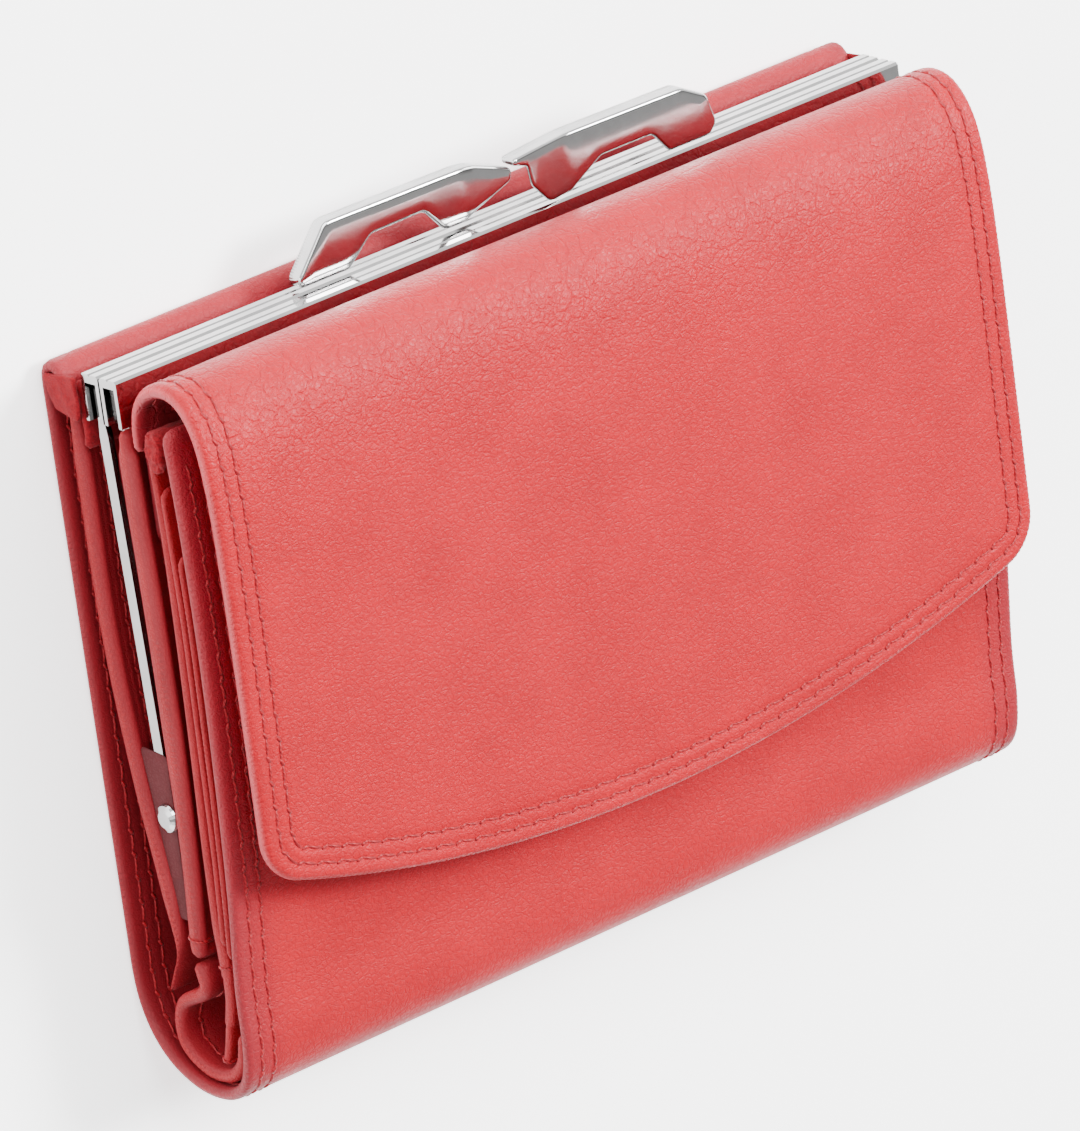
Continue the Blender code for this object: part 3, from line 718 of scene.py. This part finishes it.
def thread_material(name, colour):
    """Twisted sewing thread, with painted shade in the grooves between its strands."""
    shader = Shader(name)
    twist = shader.add("ShaderNodeTexWave", {"Vector": shader.position, "Scale": 900.0},
                       wave_type="BANDS", bands_direction="DIAGONAL")
    strands = twist.outputs["Fac"]
    # The grooves between the twisted strands are coloured darker: painted shade.
    dark = tuple(c * 0.6 for c in colour)
    tinted = shader.mix(strands, dark, colour)
    roughness = shader.remap(strands, 0.0, 1.0, 0.6, 0.42)
    normal = shader.bump(strands, 0.5, 0.00006)
    return shader.finish(tinted, roughness, normal, sheen_weight=0.05, specular=0.2)


# Near-black needle holes: painted shade in the dimples.
def hole_shade_material(name, colour):
    shader = Shader(name)
    ragged = shader.noise(4000.0, 2.0)
    tinted = shader.mix(ragged, colour, tuple(c * 0.4 for c in colour))
    return shader.finish(tinted, shader.remap(ragged, 0.0, 1.0, 0.8, 1.0), specular=0.1)


def nickel_material(name):
    """Polished nickel plate with a faint haze, fine polishing lines and small pits."""
    shader = Shader(name)
    haze = shader.noise(180.0, 3.0, 0.6)
    stretch = shader.add("ShaderNodeMapping", {"Vector": shader.position, "Scale": (0.12, 1.0, 1.0)})
    lines = shader.noise(6000.0, 2.0, 0.5, vector=stretch.outputs[0])
    pits = shader.remap(shader.cells(1500.0, "F1"), 0.0, 0.09, 1.0, 0.0, smooth=True)
    tinted = shader.mix(shader.remap(haze, 0.35, 0.7), (0.44, 0.435, 0.435), (0.37, 0.365, 0.365))
    roughness = shader.maths("MULTIPLY_ADD", lines, 0.05, shader.remap(haze, 0.3, 0.7, 0.04, 0.12))
    height = shader.maths("SUBTRACT", shader.maths("MULTIPLY", lines, 0.1), pits)
    normal = shader.bump(height, 0.12, 0.00003)
    return shader.finish(tinted, roughness, normal, metallic=1.0)


def make_materials():
    red = (0.32, 0.0012, 0.008)
    deep_red = (0.18, 0.0005, 0.0035)
    leaf_red = (0.26, 0.005, 0.010)
    deep_leaf = (0.15, 0.002, 0.004)
    # Light colour painted along the flap's rounded rim as a highlight.
    painted_rim_highlight = (0.42, 0.05, 0.06)
    lining_red = (0.16, 0.004, 0.008)
    deep_lining = (0.10, 0.0015, 0.004)
    # The hinge tabs are near black: painted shade for the dark gap between the leaves.
    tab_red_painted_shade = (0.06, 0.002, 0.004)
    deep_tab_painted_shade = (0.03, 0.001, 0.002)
    flesh_red = (0.17, 0.007, 0.012)
    flesh_leaf = (0.20, 0.006, 0.011)
    return {
        "cover": leather_material("cover_leather", red, deep_red, flesh_red, 0.8, 1.0, 0.46, edge_wear_and_shade=0.6),
        "flap": leather_material("flap_leather", red, deep_red, flesh_red, 0.8, 1.0, 0.45, rim_highlight=painted_rim_highlight),
        "leaf": leather_material("leaf_leather", leaf_red, deep_leaf, flesh_leaf, 0.55, 0.9, 0.52),
        "lining": leather_material("lining_leather", lining_red, deep_lining, lining_red, 0.5, 0.8, 0.62),
        "tab": leather_material("tab_leather_painted_shade", tab_red_painted_shade, deep_tab_painted_shade, tab_red_painted_shade, 0.5, 0.8, 0.62),
        "suede": suede_material("edge_leather", (0.28, 0.006, 0.011), (0.07, 0.001, 0.004)),
        "thread": thread_material("sewing_thread", (0.25, 0.003, 0.008)),
        "inner_thread": thread_material("inner_thread", (0.50, 0.02, 0.012)),
        "tacking": thread_material("tacking_thread", (0.66, 0.06, 0.03)),
        "hole": hole_shade_material("needle_hole_painted_shade", (0.05, 0.001, 0.003)),
        "nickel": nickel_material("nickel"),
    }


# --- leather pieces

def dress(obj, *materials):
    obj.data.materials.clear()
    for material in materials:
        obj.data.materials.append(material)
    return obj


def point(x, y, z):
    return Vector((x, y - ORIGIN_Y, z)) * MM


BLENDS = {
    "spine": ("root", "front_section", point(0, 14.0, 2.0), point(0, 13.0, 17.0)),
    "fold": ("root", "front_section", point(0, 12.0, 8.0), point(0, 6.0, 17.0)),
    "pouch": ("root", "coin_front", point(0, 33.0, 12.0), point(0, 39.0, 12.0)),
    "gusset": ("root", "coin_front", point(0, 60.0, 7.4), point(0, 60.0, 11.6)),
    "flap": ("flap_root", "flap", point(0, 84.5, 15.6), point(0, 84.5, 27.3)),
}


def attach(obj, holder):
    """Rides on a body, or, where the holder is a blend, keeps its place in the world without one."""
    if holder in BLENDS:
        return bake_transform(obj)
    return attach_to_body(obj, holder)


def make_sheet(looks, name, sheet, look, holder, replaced=(), tacks=(), held="stretched", **density):
    """A finished sheet with its stitches, held the same way."""
    obj = dress(sheet.build(name, **density), looks[look])
    attach(obj, holder)
    if replaced:
        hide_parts(*replaced)
    if sheet.seams:
        inner = looks["tacking"] if tacks else looks["inner_thread"]
        threads = dress(sheet.sew(name + "_stitches", tacks), looks["thread"], looks["hole"], inner)
        attach(threads, holder)
    return obj


def make_outer_cover(looks):
    profile = Profile(COVER_PATH)
    first = profile.t_nearest(88.0, 0.8)
    sheet = strip(profile, COVER_HALF_WIDTH, [(0.0, 1.2), (4.0, 1.5)], (1.2, 1.5), (first, 2.0), ROW_INSETS,
                  edge_width=0.8, groove=0.14)
    replaced = ("rear_cover", "spine_wrap", "front_cover", "cover_top_hem")
    make_sheet(looks, "outer_cover", sheet, "cover", "spine", replaced,
               held="folded", fine_edge=5.2, grid_t=1.2)


def make_divider(looks):
    profile = Profile(DIVIDER_REAR_PATH)
    end = profile.length
    thickness = [(0.0, 1.4), (7.0, 2.1), (end - 13.0, 2.1), (end - 8.0, 1.5), (end - 6.0, 0.6), (end, 0.5)]
    rim = [(0.0, 1.6), (7.0, 2.8), (end - 13.0, 2.7), (end - 8.0, 1.6), (end - 6.0, 0.6), (end, 0.5)]
    sheet = strip(profile, LEAF_HALF_WIDTH, thickness, (0.8, 0.8), (4.0, 9.0), LEAF_INSETS,
                  edge_width=1.05, groove=0.3, seed=1.0, turned=rim)
    make_sheet(looks, "bill_divider_rear_leaf", sheet, "leaf", "root", ("bill_divider_rear",),
               fine_edge=4.4, grid_x=4.0, grid_t=2.0)
    profile = Profile(FOLD_PATH)
    end = profile.length
    thickness = [(0.0, 2.3), (2.0, 2.2), (4.5, 1.75), (end - 6.0, 1.7), (end, 1.5)]
    sheet = strip(profile, LEAF_HALF_WIDTH, thickness, (0.5, 0.5), (3.5, 1.5), LEAF_INSETS,
                  edge_width=0.85, groove=0.2)
    make_sheet(looks, "bill_divider_slack", sheet, "leaf", "fold", ("bill_divider_fold",),
               held="folded", fine_edge=4.4, grid_x=4.0, grid_t=0.8)


def height_on(line, y):
    return float(np.interp(y, [p[0] for p in line], [p[1] for p in line]))


def section_leaf_path(bottom, top, offset_low, offset_high):
    """A leaf that lies behind the front cover, closer to it at the spine than at the top."""
    path = []
    for y in (bottom, 20.0, 32.0, 45.0, 60.0, 72.0, top):
        if y > top:
            continue
        share = min(max((y - 12.0) / 33.0, 0.0), 1.0)
        path.append((y, height_on(FRONT_COVER_LINE, y) - offset_low - (offset_high - offset_low) * share))
    return sorted(set(path))


def make_front_section(looks):
    leaves = [
        ("bill_divider_front", 9.6, 84.6, 1.45, 1.65),
        ("card_pocket_3", 19.0, 70.0, 2.4, 3.0),
        ("card_pocket_2", 22.0, 78.0, 3.35, 4.2),
    ]
    for name, bottom, top, offset_low, offset_high in leaves:
        profile = Profile(section_leaf_path(bottom, top, offset_low, offset_high))
        sheet = strip(profile, SECTION_HALF_WIDTH, 0.85, (1.0, 1.5), (2.0, 2.0), SECTION_INSETS, groove=0.1)
        make_sheet(looks, name + "_leaf", sheet, "leaf", "front_section", (name,),
                   fine_edge=3.4, grid_x=5.0, grid_t=3.0)
    make_pocket_stack(looks)
    sheet = strip(Profile(BINDING_PATH), SECTION_HALF_WIDTH + 0.3, 0.8, (0.4, 0.4), crumple=0.25, seed=4.0)
    make_sheet(looks, "pocket_binding_strip", sheet, "suede", "front_section", ("pocket_binding",),
               fine_edge=0.6, grid_x=1.0, grid_t=0.5)
    for side, sign in SIDES:
        knob = make_lump("binding_corner_" + side, (sign * 61.2, 82.9, 19.6), (0.7, 2.3, 1.5), 0.5)
        dress(knob, looks["suede"])
        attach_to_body(knob, "front_section")


def make_pocket_stack(looks):
    """The rearmost card pocket, whose turned lower edges end in two steps above the spine."""
    profile = Profile(POCKET_STACK_PATH)
    first_step = profile.t_nearest(9.7, 16.2)
    second_step = profile.t_nearest(15.9, 17.15)
    end = profile.length
    thickness = [
        (0.0, 1.1), (first_step - 0.3, 1.2), (first_step, 0.95), (first_step + 0.25, 1.6),
        (second_step - 0.3, 1.65), (second_step, 1.3), (second_step + 0.25, 2.0),
        (second_step + 3.0, 1.9), (second_step + 9.0, 1.4), (end - 12.0, 1.3), (end, 1.0),
    ]
    sheet = strip(profile, SECTION_HALF_WIDTH, thickness, (0.5, 1.5), (second_step + 4.0, 2.0),
                  SECTION_INSETS, edge_width=0.6, groove=0.12, spacing=0.45)
    make_sheet(looks, "card_pocket_1_leaf", sheet, "leaf", "front_section", ("card_pocket_1",),
               tacks=(0.6, second_step + 1.6), fine_edge=3.4, grid_x=5.0)


def make_lump(name, centre, radii, roughness):
    """A small, squarish, crumpled lump."""
    shape = bmesh.new()
    bmesh.ops.create_icosphere(shape, subdivisions=4, radius=1.0)
    for vert in shape.verts:
        spread = [math.copysign(abs(c) ** 0.7, c) * r for c, r in zip(vert.co, radii)]
        place = Vector(spread)
        swell = noise.noise(place * 0.9 + Vector(centre)) + 0.6 * noise.noise(place * 3.2)
        place += vert.co.normalized() * swell * roughness
        vert.co = point(*(Vector(centre) + place))
    return linked_mesh(name, shape)


def make_pouch(looks):
    profile = Profile(POUCH_FRONT_PATH)
    end = profile.length
    thickness = [(0.0, 1.1), (10.0, 1.4), (20.0, 2.1), (end, 1.9)]
    rim = [(0.0, 1.9), (2.0, 2.0), (3.2, 3.5), (38.0, 3.6), (end - 18.0, 3.0), (end - 3.0, 2.7), (end, 2.4)]
    sheet = strip(profile, LEAF_HALF_WIDTH, thickness, (0.8, 1.2), (5.0, 4.0), LEAF_INSETS,
                  edge_width=1.1, groove=0.3, seed=2.0, turned=rim)
    replaced = ("coin_front_leaf", "coin_front_leaf_lower")
    make_sheet(looks, "coin_pouch_front_leaf", sheet, "leaf", "pouch", replaced,
               tacks=(end - 2.6,), fine_edge=4.4, grid_x=4.0)
    for name, path, holder, node in (
        ("pouch_lining_rear", REAR_LINING_PATH, "root", "coin_pouch_rear_lining"),
        ("pouch_lining_front", FRONT_LINING_PATH, "pouch", "coin_pouch_front_lining"),
    ):
        sheet = strip(Profile(path), LINING_HALF_WIDTH, 0.55, sway=0.06, seed=3.0)
        make_sheet(looks, name, sheet, "lining", holder, (node,), fine_edge=0.6)
    for side, sign in SIDES:
        gusset, flat, area = make_gusset("pouch_gusset_" + side, sign)
        dress(gusset, looks["lining"])
        attach(gusset, "gusset")
        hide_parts("coin_pouch_gusset_" + side)
    welt = strip(Profile(WELT_PATH), LEAF_HALF_WIDTH, 1.0, (0.6, 0.6), crumple=0.3, seed=5.0)
    make_sheet(looks, "rear_frame_welt_strip", welt, "suede", "root", ("rear_frame_welt",),
               fine_edge=0.6, grid_x=0.6, grid_t=0.5)
    make_side_patches(looks)


def make_side_patches(looks):
    """At each side, a tab that covers the frame's hinge, and the raw end of the hem beside the rear rail."""
    tab = rounded([(22.0, 9.9, 0.4), (43.4, 6.9, 0.6), (43.0, 11.9, 0.8), (22.0, 11.6, 0.4)])
    raw_end = rounded([(85.2, 2.4, 0.5), (89.5, 0.9, 0.6), (90.0, 7.0, 0.4), (84.3, 6.9, 0.5)])
    for side, sign in SIDES:
        cover = SidePatch(sign * 60.4, tab, 0.24)
        # The tab's near-black leather is painted shade.
        make_sheet(looks, "hinge_tab_" + side, cover, "tab", "root", fine_edge=0.3, grid_x=1.0, grid_t=0.8)
        patch = SidePatch(sign * 61.85, raw_end, 0.6, crumple=0.3, seed=6.0 + sign)
        make_sheet(looks, "hem_end_" + side, patch, "suede", "root", fine_edge=0.3, grid_x=0.35, grid_t=0.35)


def make_gusset(name, sign):
    """The side of the pouch: a strip folded inwards, deep at the top and shallow at the bottom.

    It comes back with the size that the strip was cut to, and its area.
    """
    low_y, high_y = 42.0, 79.0
    outer_x, front, behind = 57.0, 11.5, 0.55
    shallow, deepening = 1.5, 6.0
    rows, columns, thickness = 38, 17, 0.4
    shape = bmesh.new()
    faces_of = []
    widths = []
    for side in (0, 1):
        grid = []
        for i in range(rows):
            y = low_y + (high_y - low_y) * i / (rows - 1)
            back = height_on(sorted(REAR_LINING_PATH[:7]), y) + behind
            depth = shallow + deepening * i / (rows - 1)
            line = []
            for j in range(columns):
                share = j / (columns - 1)
                fold = 1.0 - abs(2 * share - 1.0)
                fold = math.sqrt(fold * fold + 0.01) - 0.1
                x = outer_x - depth * fold - side * thickness
                z = back + (front - back) * (0.06 + 0.88 * share)
                line.append(shape.verts.new(point(sign * x, y, z)))
            grid.append(line)
            widths.append(sum((b.co - a.co).length for a, b in zip(line, line[1:])))
        faces_of.append(grid)
    for grid in faces_of:
        for i in range(rows - 1):
            for j in range(columns - 1):
                shape.faces.new((grid[i][j], grid[i][j + 1], grid[i + 1][j + 1], grid[i + 1][j]))
    outer, inner = faces_of
    rim = [(0, j) for j in range(columns)] + [(i, columns - 1) for i in range(1, rows)]
    rim += [(rows - 1, j) for j in range(columns - 2, -1, -1)] + [(i, 0) for i in range(rows - 2, 0, -1)]
    for (a, b), (c, d) in zip(rim, rim[1:] + rim[:1]):
        shape.faces.new((outer[a][b], outer[c][d], inner[c][d], inner[a][b]))
    bmesh.ops.recalc_face_normals(shape, faces=shape.faces)
    height = (high_y - low_y) * MM
    area = height * sum(widths) / len(widths)
    gusset = linked_mesh(name, shape)
    gusset.data.set_sharp_from_angle(angle=math.radians(50))
    return gusset, (max(widths), height), area


def make_flap(looks):
    profile = Profile(FLAP_PATH)
    outline = flap_pattern(profile.length)
    rows = []
    for distance in ROW_INSETS:
        ring = inset(resampled(outline, POINT_SPACING), distance)[:-1]
        shown = ring[:, 1] > 2.5
        start = int(np.argmax(shown & ~np.roll(shown, 1)))
        rows.append(np.roll(ring, -start, axis=0)[:shown.sum()])
    thickness = [(0.0, 1.3), (5.0, 1.4), (9.5, 1.8), (14.0, 2.0)]
    sheet = Leather(profile, outline, thickness, rows, edge_width=0.95, pillow=0.1, sway=0.05, groove=0.2,
                    inside=1)
    make_sheet(looks, "flap_leather", sheet, "flap", "flap", ("flap_rear_leg", "flap_bend", "flap_panel"),
               held="folded", fine_edge=5.4, grid_x=2.0, grid_t=1.0)
    lining_path = Profile([(y, z - 1.3) for y, z in FLAP_PATH[8:]])
    lining = Leather(lining_path, flap_pattern(lining_path.length, 3.0), 0.5)
    make_sheet(looks, "flap_lining_sheet", lining, "lining", "flap", ("flap_lining",),
               fine_edge=0.6, grid_t=2.0)
    hem = strip(Profile(FLAP_HEM_PATH), HEM_HALF_WIDTH, 1.1, rows=(1.0, 1.0), insets=(2.2,), groove=0.12)
    make_sheet(looks, "flap_hem_strip", hem, "cover", "coin_front", ("flap_hem",), fine_edge=3.2)


# --- metal

def make_metal(looks):
    """The frame keeps its CAD shapes, with their edges eased, and the two levers get rounded ones."""
    rear_rim = [(31.8, 92.2), (36.5, 97.8), (59.0, 97.6), (63.3, 96.4)]
    front_rim = [(61.4, 98.4), (66.0, 98.35), (89.5, 98.05), (93.3, 96.0), (94.2, 93.0)]
    levers = (
        ("rear_lever", "root",
         Lever(REAR_LEVER, rear_rim, back=8.0, front=10.3, bends=[(58.0, 0.5)])),
        ("front_lever", "coin_front",
         Lever(FRONT_LEVER, front_rim, back=11.1, front=13.7, bends=[(71.0, -0.2)])),
    )
    for name, body, shape in levers:
        lever = dress(shape.build(name + "_pressed", grid_x=0.6, grid_t=0.5, fine_edge=0.5), looks["nickel"])
        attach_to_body(lever, body)
        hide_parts(name)
    for name, obj in NODES.items():
        if obj.hide_render:
            continue
        dress(obj, looks["nickel"])
        ease = obj.modifiers.new("eased_edges", "BEVEL")
        ease.width = (0.14 if name.endswith("rail") else 0.1) * MM
        ease.segments = 3
        ease.limit_method = "ANGLE"
        ease.angle_limit = math.radians(35)
        obj.data.shade_smooth()


# --- studio

LIT_POINT = (0, 0, 0.01)
SKY_STRENGTH = 2.0


def make_camera():
    right = Vector((0.7512, -0.1279, 0.6475))
    up = Vector((0.3248, 0.9256, -0.1939))
    back = right.cross(up).normalized()
    up = back.cross(right).normalized()
    aim = point(-4.4, 48.1, 15.0)
    camera = bpy.data.cameras.new("camera")
    camera.lens = 382.0
    camera.sensor_width = 36.0
    camera.clip_start = 0.01
    camera.clip_end = 20.0
    obj = link("camera", camera)
    turn = Matrix((right, up, back)).transposed()
    obj.matrix_world = Matrix.Translation(aim + back * 1.426) @ turn.to_4x4()
    bpy.context.scene.camera = obj


def area_light(name, place, size, energy):
    """A rectangular light that points at the purse."""
    light = bpy.data.lights.new(name, "AREA")
    light.shape = "RECTANGLE"
    light.size, light.size_y = size
    light.energy = energy
    obj = link(name, light)
    obj.location = place
    obj.rotation_euler = (Vector(LIT_POINT) - Vector(place)).to_track_quat("-Z", "Y").to_euler()


def make_studio():
    bpy.ops.mesh.primitive_plane_add(size=6.0, location=(0.0, 0.0, 0.0))
    floor = bpy.context.object
    floor.name = "floor"
    shader = Shader("floor_paper")
    mottle = shader.noise(6.0, 3.0)
    paper = shader.mix(mottle, (0.9, 0.9, 0.9), (0.93, 0.93, 0.93))
    dress(floor, shader.finish(paper, shader.remap(mottle, 0.0, 1.0, 0.75, 0.85), glow=1.5))
    shader.surface.inputs["Emission Color"].default_value = (1.0, 1.0, 1.0, 1.0)
    make_sky()
    area_light("key", (0.62, 0.35, 0.95), (0.4, 0.4), 41.0)
    area_light("top", (-0.1, 0.8, 0.9), (0.9, 0.6), 20.0)
    area_light("left_fill", (-0.9, 0.1, 0.35), (0.6, 0.5), 7.0)


def make_sky():
    """Soft light from all round: bright beyond the clasp, greyer over the spine, with a dark band between."""
    world = bpy.data.worlds.new("studio_sky")
    world.use_nodes = True
    tree = world.node_tree
    direction = tree.nodes.new("ShaderNodeTexCoord").outputs["Generated"]
    parts = tree.nodes.new("ShaderNodeSeparateXYZ")
    tree.links.new(direction, parts.inputs[0])
    ramp = tree.nodes.new("ShaderNodeValToRGB")
    lean = tree.nodes.new("ShaderNodeMapRange")
    lean.inputs["From Min"].default_value = -1.0
    tree.links.new(parts.outputs["Y"], lean.inputs["Value"])
    tree.links.new(lean.outputs[0], ramp.inputs[0])
    stops = [(0.0, 0.7), (0.28, 0.42), (0.42, 0.36), (0.47, 0.1), (0.54, 0.1), (0.61, 1.05), (1.0, 1.05)]
    while len(ramp.color_ramp.elements) < len(stops):
        ramp.color_ramp.elements.new(0.5)
    for element, (place, grey) in zip(ramp.color_ramp.elements, stops):
        element.position = place
        element.color = (grey, grey, grey, 1.0)
    background = tree.nodes["Background"]
    tree.links.new(ramp.outputs["Color"], background.inputs["Color"])
    background.inputs["Strength"].default_value = SKY_STRENGTH
    bpy.context.scene.world = world


def main():
    looks = make_materials()
    make_camera()
    make_studio()
    make_outer_cover(looks)
    make_divider(looks)
    make_pouch(looks)
    make_front_section(looks)
    make_flap(looks)
    make_metal(looks)


main()
